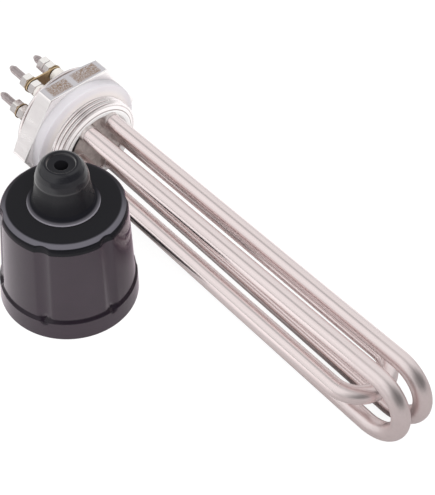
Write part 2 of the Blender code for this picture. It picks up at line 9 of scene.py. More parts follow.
import bmesh
import bpy
import numpy as np
from mathutils import Matrix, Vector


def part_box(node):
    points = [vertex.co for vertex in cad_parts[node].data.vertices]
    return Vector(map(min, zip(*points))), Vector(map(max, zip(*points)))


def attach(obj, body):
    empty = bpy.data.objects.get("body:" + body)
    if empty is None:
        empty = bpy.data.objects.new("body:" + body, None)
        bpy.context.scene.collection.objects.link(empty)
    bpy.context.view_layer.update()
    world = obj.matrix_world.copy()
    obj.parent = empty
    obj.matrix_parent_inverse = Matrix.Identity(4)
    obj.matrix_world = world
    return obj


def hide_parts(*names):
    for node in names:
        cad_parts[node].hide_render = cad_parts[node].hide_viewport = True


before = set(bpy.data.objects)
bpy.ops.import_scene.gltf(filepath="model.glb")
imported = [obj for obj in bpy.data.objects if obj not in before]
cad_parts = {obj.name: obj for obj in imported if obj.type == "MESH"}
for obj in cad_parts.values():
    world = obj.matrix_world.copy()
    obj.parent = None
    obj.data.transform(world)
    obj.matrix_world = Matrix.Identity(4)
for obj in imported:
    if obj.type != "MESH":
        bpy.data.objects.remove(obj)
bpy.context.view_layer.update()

MM = 0.001
TAU = 2 * math.pi
MERGE_DISTANCE = 1e-7
# A metre, past every surface of the part
FAR_OFF = 1.0

# Sizes of the plug, ring and tubes, nearly all as the part's solids have them
HEX_STEP = math.radians(60)
FLAT_RADIUS = 30.0 * MM
CORNER_RADIUS = FLAT_RADIUS / math.cos(HEX_STEP / 2)
CORNER_BREAK = 0.08 * MM
EDGE_BREAK = 0.4 * MM
HEX_THICKNESS = 10.2 * MM
CHAMFER_RADIUS = 28.8 * MM
CHAMFER_SLOPE = math.tan(math.radians(14.6))
SPIGOT_RADIUS = 27.7 * MM
SPIGOT_END = -14.7 * MM
SPIGOT_PITCH = 2.1 * MM
SPIGOT_GROOVE = 0.9 * MM
SPIGOT_THREAD_START = -12.325 * MM
COLLAR_RADIUS = 23.9 * MM
COLLAR_LENGTH = 14.2 * MM
RIM_RADIUS = 20.5 * MM
RIM_NOTCH = 0.2 * MM
NOTCH_SLOPE = 1.6
DISH_EDGE = 18.4 * MM
DISH_FLOOR = 16.6 * MM
PLATE_FACE = 12.9 * MM
THREAD_PITCH = 2.309 * MM
THREAD_DEPTH = 1.3 * MM
THREAD_START = 0.95 * MM
THREAD_RUNOUT = (2.0 * MM, 3.4 * MM)
RING_INNER = 23.3 * MM
RING_OUTER = 29.4 * MM
RING_BACK = 0.02 * MM
RING_FRONT = 5.3 * MM
RING_SWELL = 1.3 * MM
TUBE_RADIUS = 4.25 * MM
TUBE_BORE = 3.55 * MM
TUBE_COLUMNS = 48
TUBE_END = -21.0 * MM
LOOP_SIDE = 6.87 * MM
LOOP_ROOT = 13.402 * MM
LOOP_BEND = 16.602 * MM
LOOP_TIP = 224.0 * MM
MIDDLE_ROOT = 13.91 * MM
MIDDLE_BEND = 14.41 * MM
MIDDLE_TIP = 206.0 * MM
CAP_PLACE_X = 54.2 * MM
CAP_PLACE_Y = -52.21 * MM
TOUCH = 0.3 * MM

# Where each leg of an element stands in the collar, across and up
LEGS = {
    "front_upper": (-LOOP_SIDE, LOOP_ROOT),
    "front_lower": (-LOOP_SIDE, -LOOP_ROOT),
    "rear_upper": (LOOP_SIDE, LOOP_ROOT),
    "rear_lower": (LOOP_SIDE, -LOOP_ROOT),
    "middle_front": (-MIDDLE_ROOT, 0.0),
    "middle_rear": (MIDDLE_ROOT, 0.0),
}

# The terminals: each leg's bead, stud and stack, from the tube's end outwards
BEAD_LENGTH = {"front_upper": 1.7 * MM, "front_lower": 1.7 * MM, "rear_upper": 6.0 * MM,
               "rear_lower": 1.7 * MM, "middle_front": 2.6 * MM, "middle_rear": 6.0 * MM}
STUD_REACH = {"front_upper": 46.0 * MM, "front_lower": 44.5 * MM, "rear_upper": 44.6 * MM,
              "rear_lower": 44.8 * MM, "middle_front": 45.5 * MM, "middle_rear": 45.0 * MM}
STACKED = ("inner_nut", "washer", "outer_nut")
STACK = {"front_upper": ("inner_nut", "bridge", "washer", "outer_nut"),
         "front_lower": STACKED, "rear_lower": STACKED, "middle_front": STACKED,
         "rear_upper": ("bridge", "washer", "inner_nut", "outer_nut"),
         "middle_rear": ("bridge", "washer", "inner_nut", "outer_nut")}
THICKNESS = {"inner_nut": 4.0 * MM, "outer_nut": 4.0 * MM, "washer": 0.6 * MM,
             "bridge": 0.8 * MM}
STUD_TIP = 2.8 * MM
STUD_RADIUS = 2.0 * MM
STUD_HOLE = 2.3 * MM
PIN_FRONT = 12.0 * MM
PIN_END = -17.5 * MM
PIN_RADIUS = 1.2 * MM
NUT_FLAT = 3.6 * MM
NUT_SLOPE = math.tan(math.radians(28))
WASHER_RADIUS = 4.2 * MM
BEAD_RADIUS = 3.9 * MM
NOSE_RADIUS = 3.1 * MM
STUD_PITCH = 0.7 * MM
STUD_THREAD_DEPTH = 0.22 * MM

# The cap and its grommet
CAP_BORE = 28.1 * MM
CAP_THREAD_TOP = 9.0 * MM
CAP_THREAD_PITCH = 2.0 * MM
CAP_THREAD_DEPTH = 0.45 * MM
CAP_SKIRT = 32.5 * MM
CAP_SKIRT_TOP = 32.1 * MM
CAP_SKIRT_HEIGHT = 11.1 * MM
CAP_BODY = 31.0 * MM
CAP_TAPER = math.tan(math.radians(3.3))
CAP_HEIGHT = 57.4 * MM
SHOULDER_WIDTH = 4.1 * MM
SHOULDER_DROP = 4.4 * MM
CAP_SHOULDER_Z = CAP_HEIGHT - SHOULDER_DROP
CAP_SHOULDER = CAP_BODY - (CAP_SHOULDER_Z - CAP_SKIRT_HEIGHT) * CAP_TAPER
CAP_HOLE = 9.0 * MM
CAP_CAVITY = 26.7 * MM
CAP_CAVITY_FOOT = 10.4 * MM
CAP_CAVITY_TOP = 54.4 * MM
FLUTE_COUNT = 6
FLUTE_RADIUS = 6.5 * MM
FLUTE_DEPTH = 1.1 * MM
FLUTE_FLOOR = CAP_SKIRT_HEIGHT - 0.6 * MM
FLUTE_PHASE = math.radians(61)
FLUTE_SOFT = 0.20 * MM
POCKET_RADIUS = 1.3 * MM
POCKET_DEPTH = 1.6 * MM
LEDGE_TOP = CAP_SKIRT_HEIGHT + 1.1 * MM
LEDGE_FOOT = CAP_SKIRT_HEIGHT - 1.2 * MM
GROMMET_BORE = 3.0 * MM
GROMMET_TOP = 81.3 * MM
GROMMET_CREASE = 72.0 * MM
GROMMET_FOOT = 16.5 * MM
GROMMET_PLUG = 8.7 * MM

# The two etched fields on the top flat, across and along, and the height of fine bumps
ETCHED_FIELDS = ((-14.2 * MM, -2.6 * MM), (0.6 * MM, 14.6 * MM))
ETCHED_LENGTH = (-8.4 * MM, -1.4 * MM)
GRAIN_RELIEF = 0.02 * MM

# The level direction that the painted sheen on the cap's and grommet's bright side faces, between
# the softbox and the front wall
LIT_SIDE = (0.76, -0.65, 0.0)

LOOP_BEND_X = LOOP_TIP - TUBE_RADIUS - LOOP_BEND
MIDDLE_BEND_X = MIDDLE_TIP - TUBE_RADIUS - MIDDLE_BEND
TILT = (math.atan2(FLAT_RADIUS, LOOP_BEND_X)
        - math.asin((LOOP_BEND + TUBE_RADIUS) / math.hypot(FLAT_RADIUS, LOOP_BEND_X)))

cap_low, cap_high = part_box("terminal_cap")
CAP_CENTRE = np.array([(cap_low.x + cap_high.x) / 2, (cap_low.y + cap_high.y) / 2, cap_low.z])
HEATER_ORIGIN = CAP_CENTRE + np.array([-CAP_PLACE_X, -CAP_PLACE_Y, FLAT_RADIUS * math.cos(TILT)])
AXIS_X = np.array([math.cos(TILT), 0.0, -math.sin(TILT)])
AXIS_Y = np.array([0.0, 1.0, 0.0])
AXIS_Z = np.array([math.sin(TILT), 0.0, math.cos(TILT)])


def heater_to_world(points):
    """Heater-frame points (..., 3), tilted and moved to where the heater lies."""
    points = np.asarray(points, float)
    return (HEATER_ORIGIN + points[..., 0:1] * AXIS_X + points[..., 1:2] * AXIS_Y
            + points[..., 2:3] * AXIS_Z)


def grid_faces(rows, columns, close_rows, close_columns, start):
    """Quads of a grid of points, joined end to end where it closes."""
    index = np.arange(rows * columns).reshape(rows, columns) + start
    if close_rows:
        index = np.vstack([index, index[:1]])
    if close_columns:
        index = np.hstack([index, index[:, :1]])
    corners = (index[:-1, :-1], index[:-1, 1:], index[1:, 1:], index[1:, :-1])
    return np.stack(corners, axis=-1).reshape(-1, 4)


def add_piece(name, grids, material, nodes=(), sharp=35.0):
    """One piece from grids of world points: (points, close_rows, close_columns) each."""
    points = []
    faces = []
    count = 0
    for grid, close_rows, close_columns in grids:
        rows, columns = grid.shape[:2]
        faces.append(grid_faces(rows, columns, close_rows, close_columns, count))
        points.append(grid.reshape(-1, 3))
        count += rows * columns
    points = np.concatenate(points)
    faces = np.concatenate(faces)
    mesh = bpy.data.meshes.new(name)
    mesh.vertices.add(len(points))
    mesh.vertices.foreach_set("co", points.astype(np.float32).ravel())
    mesh.loops.add(faces.size)
    mesh.loops.foreach_set("vertex_index", faces.astype(np.int32).ravel())
    mesh.polygons.add(len(faces))
    mesh.polygons.foreach_set("loop_start", np.arange(0, faces.size, 4, dtype=np.int32))
    mesh.update(calc_edges=True)
    shape = bmesh.new()
    shape.from_mesh(mesh)
    bmesh.ops.remove_doubles(shape, verts=shape.verts, dist=MERGE_DISTANCE)
    bmesh.ops.recalc_face_normals(shape, faces=shape.faces)
    shape.to_mesh(mesh)
    shape.free()
    mesh.shade_smooth()
    mesh.set_sharp_from_angle(angle=math.radians(sharp))
    mesh.materials.append(material)
    piece = bpy.data.objects.new(name, mesh)
    bpy.context.scene.collection.objects.link(piece)
    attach(piece, "root")
    if nodes:
        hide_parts(*nodes)


def refine(profile, step):
    """A profile's points with more put on its straight stretches, at most a step apart."""
    fine = []
    for first, second in zip(profile[:-1], profile[1:]):
        first = np.array(first, float)
        second = np.array(second, float)
        pieces = max(1, math.ceil(np.linalg.norm(second - first) / step))
        fine.extend(first + (second - first) * share / pieces for share in range(pieces))
    fine.append(np.array(profile[-1], float))
    return np.array(fine)


def round_corners(profile, radius, closed=False, steps=5):
    """Each corner of a profile replaced by a curve that starts and ends a radius from it."""
    profile = [np.array(point, float) for point in profile]
    count = len(profile)
    rounded = []
    for index, corner in enumerate(profile):
        if not closed and index in (0, count - 1):
            rounded.append(corner)
            continue
        before = profile[index - 1] - corner
        after = profile[(index + 1) % count] - corner
        reach = min(radius, 0.45 * np.linalg.norm(before), 0.45 * np.linalg.norm(after))
        start = corner + before / np.linalg.norm(before) * reach
        end = corner + after / np.linalg.norm(after) * reach
        for share in np.linspace(0, 1, steps):
            rounded.append((1 - share) ** 2 * start + 2 * share * (1 - share) * corner
                           + share ** 2 * end)
    return rounded


def turned(profile, columns, centre=(0.0, 0.0)):
    """Rows of (along, radius) turned round the heater's X at a centre (y, z).

    A station and a radius are each a number, or an array with one value for each angle. A
    point stands its radius away from the centre, at its angle.
    """
    angle = np.arange(columns) * TAU / columns
    along = np.array([station + np.zeros(columns) for station, _ in profile])
    radius = np.array([reach + np.zeros(columns) for _, reach in profile])
    return heater_to_world(np.stack([along, centre[0] + radius * np.cos(angle),
                                     centre[1] + radius * np.sin(angle)], axis=-1))


def turned_upright(profile, columns):
    """A profile of (radius, height) turned round the cap's upright axis."""
    profile = np.asarray(profile, float)
    angle = np.arange(columns) * TAU / columns
    across = profile[:, 0:1] * np.cos(angle)
    along = profile[:, 0:1] * np.sin(angle)
    up = np.repeat(profile[:, 1:2], columns, axis=1)
    return CAP_CENTRE + np.stack([across, along, up], axis=-1)


def swept(path, radius, columns, normal):
    """Circles of one radius carried along a flat path whose plane has the given normal."""
    tangent = np.gradient(path, axis=0)
    tangent /= np.linalg.norm(tangent, axis=1)[:, None]
    side = np.cross(tangent, normal)
    angle = np.arange(columns) * TAU / columns
    ring = (np.cos(angle)[None, :, None] * side[:, None, :]
            + np.sin(angle)[None, :, None] * np.asarray(normal)[None, None, :])
    return path[:, None, :] + radius * ring


def hexagon_radius(angle, flat_radius):
    """A hexagon's radius: its flat radius over the cosine of the angle from the nearest flat."""
    return flat_radius / np.cos(np.mod(angle, HEX_STEP) - HEX_STEP / 2)


def smooth_step(value, low, high):
    """0 below low, 1 above high and a smooth rise between them."""
    share = np.clip((value - low) / (high - low), 0, 1)
    return share * share * (3 - 2 * share)


def new_group(name, inputs, outputs):
    """An empty shader node group with named sockets."""
    group = bpy.data.node_groups.new(name, "ShaderNodeTree")
    for label, kind, value in inputs:
        socket = group.interface.new_socket(label, in_out="INPUT", socket_type=kind)
        socket.default_value = value
    for label, kind in outputs:
        group.interface.new_socket(label, in_out="OUTPUT", socket_type=kind)
    return group


def grain_group():
    """Stretched noise on Object coordinates: tone from 0 to 1 and a height for bumps."""
    group = new_group(
        "metal_grain",
        (("Scale", "NodeSocketFloat", 300.0), ("Stretch", "NodeSocketVector", (1, 1, 1)),
         ("Low", "NodeSocketFloat", 0.3), ("High", "NodeSocketFloat", 0.7)),
        (("Tone", "NodeSocketFloat"), ("Height", "NodeSocketFloat")))
    nodes = group.nodes
    links = group.links
    given = nodes.new("NodeGroupInput")
    result = nodes.new("NodeGroupOutput")
    place = nodes.new("ShaderNodeTexCoord")
    stretch = nodes.new("ShaderNodeVectorMath")
    stretch.operation = "MULTIPLY"
    noise = nodes.new("ShaderNodeTexNoise")
    noise.inputs["Detail"].default_value = 4.0
    noise.inputs["Roughness"].default_value = 0.6
    spread = nodes.new("ShaderNodeMapRange")
    links.new(place.outputs["Object"], stretch.inputs[0])
    links.new(given.outputs["Stretch"], stretch.inputs[1])
    links.new(stretch.outputs[0], noise.inputs["Vector"])
    links.new(given.outputs["Scale"], noise.inputs["Scale"])
    links.new(noise.outputs["Fac"], spread.inputs["Value"])
    links.new(given.outputs["Low"], spread.inputs["From Min"])
    links.new(given.outputs["High"], spread.inputs["From Max"])
    links.new(spread.outputs["Result"], result.inputs["Tone"])
    links.new(noise.outputs["Fac"], result.inputs["Height"])
    return group


METAL_GRAIN = grain_group()


def place_grain(material, scale, stretch=(1, 1, 1), low=0.3, high=0.7):
    """One use of the grain group in a material."""
    node = material.node_tree.nodes.new("ShaderNodeGroup")
    node.node_tree = METAL_GRAIN
    node.inputs["Scale"].default_value = scale
    node.inputs["Stretch"].default_value = stretch
    node.inputs["Low"].default_value = low
    node.inputs["High"].default_value = high
    return node


def shader_of(material):
    """A material's Principled shader."""
    return material.node_tree.nodes["Principled BSDF"]


def object_place(material):
    """A point's place in the part's frame, as a socket."""
    return material.node_tree.nodes.new("ShaderNodeTexCoord").outputs["Object"]


def surface_normal(material):
    """The surface's normal, as a socket."""
    return material.node_tree.nodes.new("ShaderNodeNewGeometry").outputs["Normal"]


def split_axes(owner, vector):
    """The X, Y and Z of a vector, as sockets; the owner is a material or the world."""
    node = owner.node_tree.nodes.new("ShaderNodeSeparateXYZ")
    owner.node_tree.links.new(vector, node.inputs["Vector"])
    return node.outputs["X"], node.outputs["Y"], node.outputs["Z"]


def set_or_link(owner, socket, value):
    """Gives a socket a fixed value, or links it to another socket."""
    if isinstance(value, bpy.types.NodeSocket):
        owner.node_tree.links.new(value, socket)
    else:
        socket.default_value = value


def math_node(owner, operation, first, second=0.0):
    """One Math node on two sockets or numbers."""
    node = owner.node_tree.nodes.new("ShaderNodeMath")
    node.operation = operation
    set_or_link(owner, node.inputs[0], first)
    set_or_link(owner, node.inputs[1], second)
    return node.outputs[0]


def combine(owner, operation, *masks):
    """Masks put together one after another through Math nodes."""
    result = masks[0]
    for mask in masks[1:]:
        result = math_node(owner, operation, result, mask)
    return result


def vector_math(material, operation, given, value=(0.0, 0.0, 0.0)):
    """One Vector Math node on a socket and a fixed vector."""
    node = material.node_tree.nodes.new("ShaderNodeVectorMath")
    node.operation = operation
    node.inputs[1].default_value = value
    material.node_tree.links.new(given, node.inputs[0])
    return node


def blend_colours(material, mask, first, second):
    """A colour that goes from the first, a colour or a socket, to the second with a mask."""
    mix = material.node_tree.nodes.new("ShaderNodeMix")
    mix.data_type = "RGBA"
    set_or_link(material, mix.inputs[6],
                first if isinstance(first, bpy.types.NodeSocket) else (*first, 1.0))
    mix.inputs[7].default_value = (*second, 1.0)
    material.node_tree.links.new(mask, mix.inputs[0])
    return mix.outputs[2]


def paint(material, mask, colour):
    """Lays a colour over a material's base colour where a mask is 1."""
    base = shader_of(material).inputs["Base Color"]
    ground = base.links[0].from_socket
    material.node_tree.links.new(blend_colours(material, mask, ground, colour), base)


def spread_value(material, value, low, high):
    """A 0 to 1 value spread between two limits."""
    node = material.node_tree.nodes.new("ShaderNodeMapRange")
    node.inputs["To Min"].default_value = low
    node.inputs["To Max"].default_value = high
    material.node_tree.links.new(value, node.inputs["Value"])
    return node.outputs["Result"]


def rise(owner, value, low, high):
    """A mask that goes smoothly from 0 at low to 1 at high; low may be the larger."""
    node = owner.node_tree.nodes.new("ShaderNodeMapRange")
    node.interpolation_type = "SMOOTHSTEP"
    node.inputs["From Min"].default_value = min(low, high)
    node.inputs["From Max"].default_value = max(low, high)
    if low > high:
        node.inputs["To Min"].default_value = 1.0
        node.inputs["To Max"].default_value = 0.0
    owner.node_tree.links.new(value, node.inputs["Value"])
    return node.outputs["Result"]


def band(material, value, low, high, soft):
    """1 between two limits, with soft edges."""
    return combine(material, "MULTIPLY", rise(material, value, low - soft, low + soft),
                   rise(material, value, high + soft, high - soft))


def facing_up(material, low, high):
    """A mask that goes from 0 to 1 as a surface turns to face upwards."""
    return rise(material, split_axes(material, surface_normal(material))[2], low, high)


def frame_axes(material):
    """The heater's own X, Y and Z and the distance from its X axis, as sockets."""
    untilted = material.node_tree.nodes.new("ShaderNodeMapping")
    untilted.vector_type = "TEXTURE"
    untilted.inputs["Location"].default_value = HEATER_ORIGIN
    untilted.inputs["Rotation"].default_value = (0.0, TILT, 0.0)
    material.node_tree.links.new(object_place(material), untilted.inputs["Vector"])
    place = untilted.outputs["Vector"]
    flat = vector_math(material, "MULTIPLY", place, (0.0, 1.0, 1.0))
    distance = vector_math(material, "LENGTH", flat.outputs["Vector"])
    return (*split_axes(material, place), distance.outputs["Value"])


def grained(name, metallic, dark, light, rough_low, rough_high, scale, stretch=(1, 1, 1),
            bump=0.0):
    """A finish whose colour and roughness wander with the grain group."""
    material = bpy.data.materials.new(name)
    material.use_nodes = True
    shader = shader_of(material)
    shader.inputs["Metallic"].default_value = metallic
    grain = place_grain(material, scale, stretch)
    links = material.node_tree.links
    links.new(blend_colours(material, grain.outputs["Tone"], dark, light),
              shader.inputs["Base Color"])
    links.new(spread_value(material, grain.outputs["Tone"], rough_low, rough_high),
              shader.inputs["Roughness"])
    if bump:
        relief = material.node_tree.nodes.new("ShaderNodeBump")
        relief.inputs["Strength"].default_value = bump
        relief.inputs["Distance"].default_value = GRAIN_RELIEF
        links.new(grain.outputs["Height"], relief.inputs["Height"])
        links.new(relief.outputs["Normal"], shader.inputs["Normal"])
    return material


def tube_finish():
    """Satin stainless tube with fine lengthwise drawing lines, duller towards the bends."""
    material = grained("sheath_satin_steel", 1.0, (0.85, 0.75, 0.742), (0.89, 0.788, 0.78),
                       0.21, 0.33, 900.0, (0.02, 1.0, 1.0), bump=0.05)
    along = frame_axes(material)[0]
    bends = rise(material, along, MIDDLE_BEND_X - 15.0 * MM, LOOP_BEND_X + 5.0 * MM)
    roughness = shader_of(material).inputs["Roughness"].links[0].from_node
    material.node_tree.links.new(bends, roughness.inputs["Value"])
    return material


def plug_finish():
    """Milled and turned steel with two etched brown fields on the top flat.

    The top flat is painted a duller grey as shade, thread roots and the rim's notch are painted
    darker as shade, the hexagon's front edge carries a painted highlight, and the collar's rim is
    a pale, hardly metallic face.
    """
    material = grained("plug_milled_steel", 1.0, (0.985, 0.935, 0.935), (1.0, 0.96, 0.955),
                       0.20, 0.28, 300.0, (0.3, 1.0, 1.0), bump=0.02)
    along, across, up, distance = frame_axes(material)

    def where_all(*masks):
        """1 where every mask is 1."""
        return combine(material, "MULTIPLY", *masks)

    hexagon = rise(material, along, 0.2 * MM, -0.2 * MM)
    # Painted shade: the hexagon's upward-facing top flat is greyer.
    paint(material, where_all(facing_up(material, 0.95, 0.98), hexagon), (0.62, 0.60, 0.625))
    # Painted highlight: a bright line along the hexagon's front edge.
    edge = rise(material, along, -EDGE_BREAK - 0.15 * MM, -EDGE_BREAK)
    paint(material, where_all(edge, hexagon), (1.0, 0.98, 0.97))

    # Painted shade: the collar's thread roots, the spigot's thread roots and the rim's notch are
    # darker.
    groove = where_all(
        rise(material, distance, COLLAR_RADIUS - 0.8 * MM, COLLAR_RADIUS - 1.2 * MM),
        rise(material, along, RING_FRONT - 0.3 * MM, RING_FRONT + 0.3 * MM),
        rise(material, along, COLLAR_LENGTH - 0.8 * MM, COLLAR_LENGTH - 1.1 * MM))
    spigot = where_all(
        rise(material, distance, SPIGOT_RADIUS - 0.3 * MM, SPIGOT_RADIUS - 0.7 * MM),
        rise(material, along, -HEX_THICKNESS - 0.1 * MM, -HEX_THICKNESS - 0.3 * MM))
    notch = where_all(
        band(material, distance, RIM_RADIUS + 0.05 * MM, RIM_RADIUS + 0.5 * MM, 0.1 * MM),
        rise(material, along, COLLAR_LENGTH - 1.0 * MM, COLLAR_LENGTH - 0.8 * MM))
    paint(material, combine(material, "MAXIMUM", groove, spigot, notch), (0.34, 0.29, 0.28))

    rim = where_all(
        band(material, distance, DISH_EDGE - 0.8 * MM, RIM_RADIUS + 2.5 * MM, 0.2 * MM),
        rise(material, along, PLATE_FACE - 0.4 * MM, PLATE_FACE + 0.1 * MM))
    face = rise(material, distance, RIM_RADIUS + 0.1 * MM, RIM_RADIUS - 0.05 * MM)
    paint(material, where_all(rim, face), (1.0, 0.99, 0.985))
    material.node_tree.links.new(spread_value(material, rim, 0.85, 0.1),
                                 shader_of(material).inputs["Metallic"])

    fields = [band(material, across, low, high, 0.7 * MM) for low, high in ETCHED_FIELDS]
    mottle = place_grain(material, 2000.0, (1, 1, 1), 0.38, 0.56)
    etched = where_all(
        combine(material, "MAXIMUM", *fields), band(material, along, *ETCHED_LENGTH, 0.6 * MM),
        rise(material, up, FLAT_RADIUS - 0.4 * MM, FLAT_RADIUS - 0.2 * MM),
        mottle.outputs["Tone"])
    paint(material, etched, (0.29, 0.19, 0.125))
    return material


def plate_finish():
    """The dish's dull floor, with a painted black shadow in the gap under the rim on the near
    side.
    """
    material = grained("tube_plate_steel", 0.4, (0.48, 0.42, 0.40), (0.72, 0.65, 0.62),
                       0.4, 0.6, 400.0, bump=0.1)
    _, across, _, distance = frame_axes(material)
    # Painted shadow: black on the floor just inside the rim on the near side.
    gap = combine(material, "MULTIPLY",
                  rise(material, distance, DISH_FLOOR - 2.0 * MM, DISH_FLOOR - 1.2 * MM),
                  rise(material, across, -3.0 * MM, -6.0 * MM))
    paint(material, gap, (0.01, 0.008, 0.008))
    return material


def silicone_finish():
    """Milky silicone that lets a little light into itself, warmer inwards, with painted shade
    greying its outer side.
    """
    material = grained("ring_milky_silicone", 0.0, (0.715, 0.68, 0.705), (0.755, 0.72, 0.745),
                       0.35, 0.45, 60.0, bump=0.02)
    distance = frame_axes(material)[3]
    paint(material, rise(material, distance, RING_OUTER - 1.9 * MM, RING_OUTER - 4.9 * MM),
          (0.81, 0.75, 0.735))
    # Painted shade: the ring's outer side is greyer.
    paint(material, rise(material, distance, RING_OUTER - 0.8 * MM, RING_OUTER - 0.1 * MM),
          (0.665, 0.64, 0.67))
    shader = shader_of(material)
    shader.inputs["Subsurface Weight"].default_value = 0.35
    shader.inputs["Subsurface Radius"].default_value = (1.0, 0.9, 1.0)
    shader.inputs["Subsurface Scale"].default_value = 2.0 * MM
    return material


def shaded_by_slope(material, low, high, sheen, black, brim=FAR_OFF, flat=0.95):
    """Painted dark reflection on top and under the shoulder, with a painted pale sheen between
    them on the bright side.

    The masks follow the steepness of the surface, as the upward part of its normal. The sheen's
    colour lies between a low and a high height, where the surface isn't flatter than the given
    limit, and all that stands above the brim's height is black too. The gloss is a clear coat,
    thinner where the surface is black.
    """
    slope = split_axes(material, surface_normal(material))[2]
    height = split_axes(material, object_place(material))[2]
    upper = spread_value(material, rise(material, height, 20.0 * MM, 40.0 * MM), 0.6, 1.0)
    # Painted dark reflection: black on top and under the shoulder, and less gloss there.
    dull = combine(material, "MAXIMUM",
                   combine(material, "MULTIPLY", rise(material, slope, 0.12, 0.25), upper),
                   rise(material, height, brim, brim + 0.5 * MM))
    paint(material, dull, black)
    shader = shader_of(material)
    shader.inputs["Specular IOR Level"].default_value = 0.0
    material.node_tree.links.new(spread_value(material, dull, 1.0, 0.3),
                                 shader.inputs["Coat Weight"])
    # Painted highlight: a pale sheen band on the bright side of the shoulder.
    lit = vector_math(material, "DOT_PRODUCT", surface_normal(material), LIT_SIDE)
    mask = combine(material, "MULTIPLY", band(material, slope, 0.62, flat, 0.04),
                   rise(material, lit.outputs["Value"], -0.25, 0.15),
                   band(material, height, low, high, 0.3 * MM))
    paint(material, mask, sheen)


def cap_finish():
    """Black moulded plastic with a clear gloss and a trace of purple."""
    material = grained("cap_black_plastic", 0.0, (0.017, 0.0075, 0.0155), (0.022, 0.010, 0.020),
                       0.08, 0.11, 120.0, bump=0.01)
    shader = shader_of(material)
    shader.inputs["Coat Roughness"].default_value = 0.09
    shader.inputs["Sheen Weight"].default_value = 0.2
    shader.inputs["Sheen Roughness"].default_value = 0.3
    shader.inputs["Sheen Tint"].default_value = (1.0, 0.62, 0.90, 1.0)
    # Painted pale sheen on the shoulder's bright side, and painted black on top and under the
    # shoulder.
    shaded_by_slope(material, CAP_HEIGHT - 7.4 * MM, CAP_HEIGHT + 0.6 * MM, (0.115, 0.110, 0.128),
                    (0.007, 0.007, 0.009), CAP_SHOULDER_Z - 0.9 * MM)
    return material


def rubber_finish():
    """Black rubber, glossy round its head, duller down its neck and lightless in its bore."""
    material = grained("grommet_black_rubber", 0.0, (0.010, 0.010, 0.012),
                       (0.014, 0.0135, 0.016), 0.14, 0.20, 120.0, bump=0.02)
    # Painted pale sheen on the foot's rounded edge on the bright side, and painted black on the
    # upward-facing surfaces.
    shaded_by_slope(material, CAP_HEIGHT + 0.1 * MM, CAP_HEIGHT + 1.6 * MM, (0.20, 0.19, 0.215),
                    (0.010, 0.010, 0.013), flat=0.89)
    place = object_place(material)
    height = split_axes(material, place)[2]
    head = combine(material, "MULTIPLY",
                   rise(material, height, GROMMET_CREASE, GROMMET_CREASE + 1.0 * MM),
                   facing_up(material, 0.97, 0.9))
    neck = rise(material, height, GROMMET_CREASE - 10.0 * MM, GROMMET_CREASE)
    centred = vector_math(material, "SUBTRACT", place, CAP_CENTRE)
    level = vector_math(material, "MULTIPLY", centred.outputs["Vector"], (1.0, 1.0, 0.0))
    distance = vector_math(material, "LENGTH", level.outputs["Vector"]).outputs["Value"]
    outside_bore = rise(material, distance, GROMMET_BORE + 0.05 * MM, GROMMET_BORE + 0.3 * MM)
    gloss = combine(material, "MULTIPLY", spread_value(material, head, 0.4, 1.0),
                    spread_value(material, neck, 0.25, 1.0), outside_bore)
    shader = shader_of(material)
    material.node_tree.links.new(gloss, shader.inputs["Coat Weight"])
    shader.inputs["Coat Roughness"].default_value = 0.17
    return material


def nut_finish():
    """Bright plating, with painted shade greying the facets that don't face up."""
    material = grained("nut_bright_plating", 1.0, (0.95, 0.92, 0.89), (0.98, 0.955, 0.93),
                       0.14, 0.2, 200.0)
    # Painted shade: facets that don't face up are greyer.
    paint(material, facing_up(material, 0.62, 0.45), (0.86, 0.80, 0.79))
    return material


tube_steel = tube_finish()
plug_steel = plug_finish()
silicone = silicone_finish()
cap_plastic = cap_finish()
rubber = rubber_finish()
plate_steel = plate_finish()
nut_metal = nut_finish()
braze = grained("braze_fillet", 1.0, (0.64, 0.58, 0.565), (0.82, 0.76, 0.745), 0.28, 0.4, 700.0,
                bump=0.1)
stud_steel = grained("stud_grey_steel", 1.0, (0.50, 0.44, 0.44), (0.60, 0.53, 0.53),
                     0.36, 0.46, 600.0)
# Dull brass, painted darker as shade in the gaps between the stacked nuts.
washer_brass = grained("washer_dull_brass_painted_shade", 1.0, (0.38, 0.28, 0.18), (0.62, 0.49, 0.34),
                       0.3, 0.45, 500.0)
bridge_brass = grained("bridge_dull_brass", 1.0, (0.50, 0.36, 0.20), (0.72, 0.56, 0.36),
                       0.28, 0.42, 300.0)
ceramic = grained("insulator_ceramic", 0.0, (0.84, 0.80, 0.75), (0.90, 0.87, 0.83),
                  0.5, 0.65, 300.0)
powder = grained("magnesia_powder", 0.0, (0.80, 0.79, 0.75), (0.88, 0.87, 0.84), 0.85, 0.95,
                 900.0, bump=0.3)
wire = grained("resistance_wire", 1.0, (0.30, 0.28, 0.27), (0.42, 0.39, 0.37), 0.4, 0.6, 900.0)


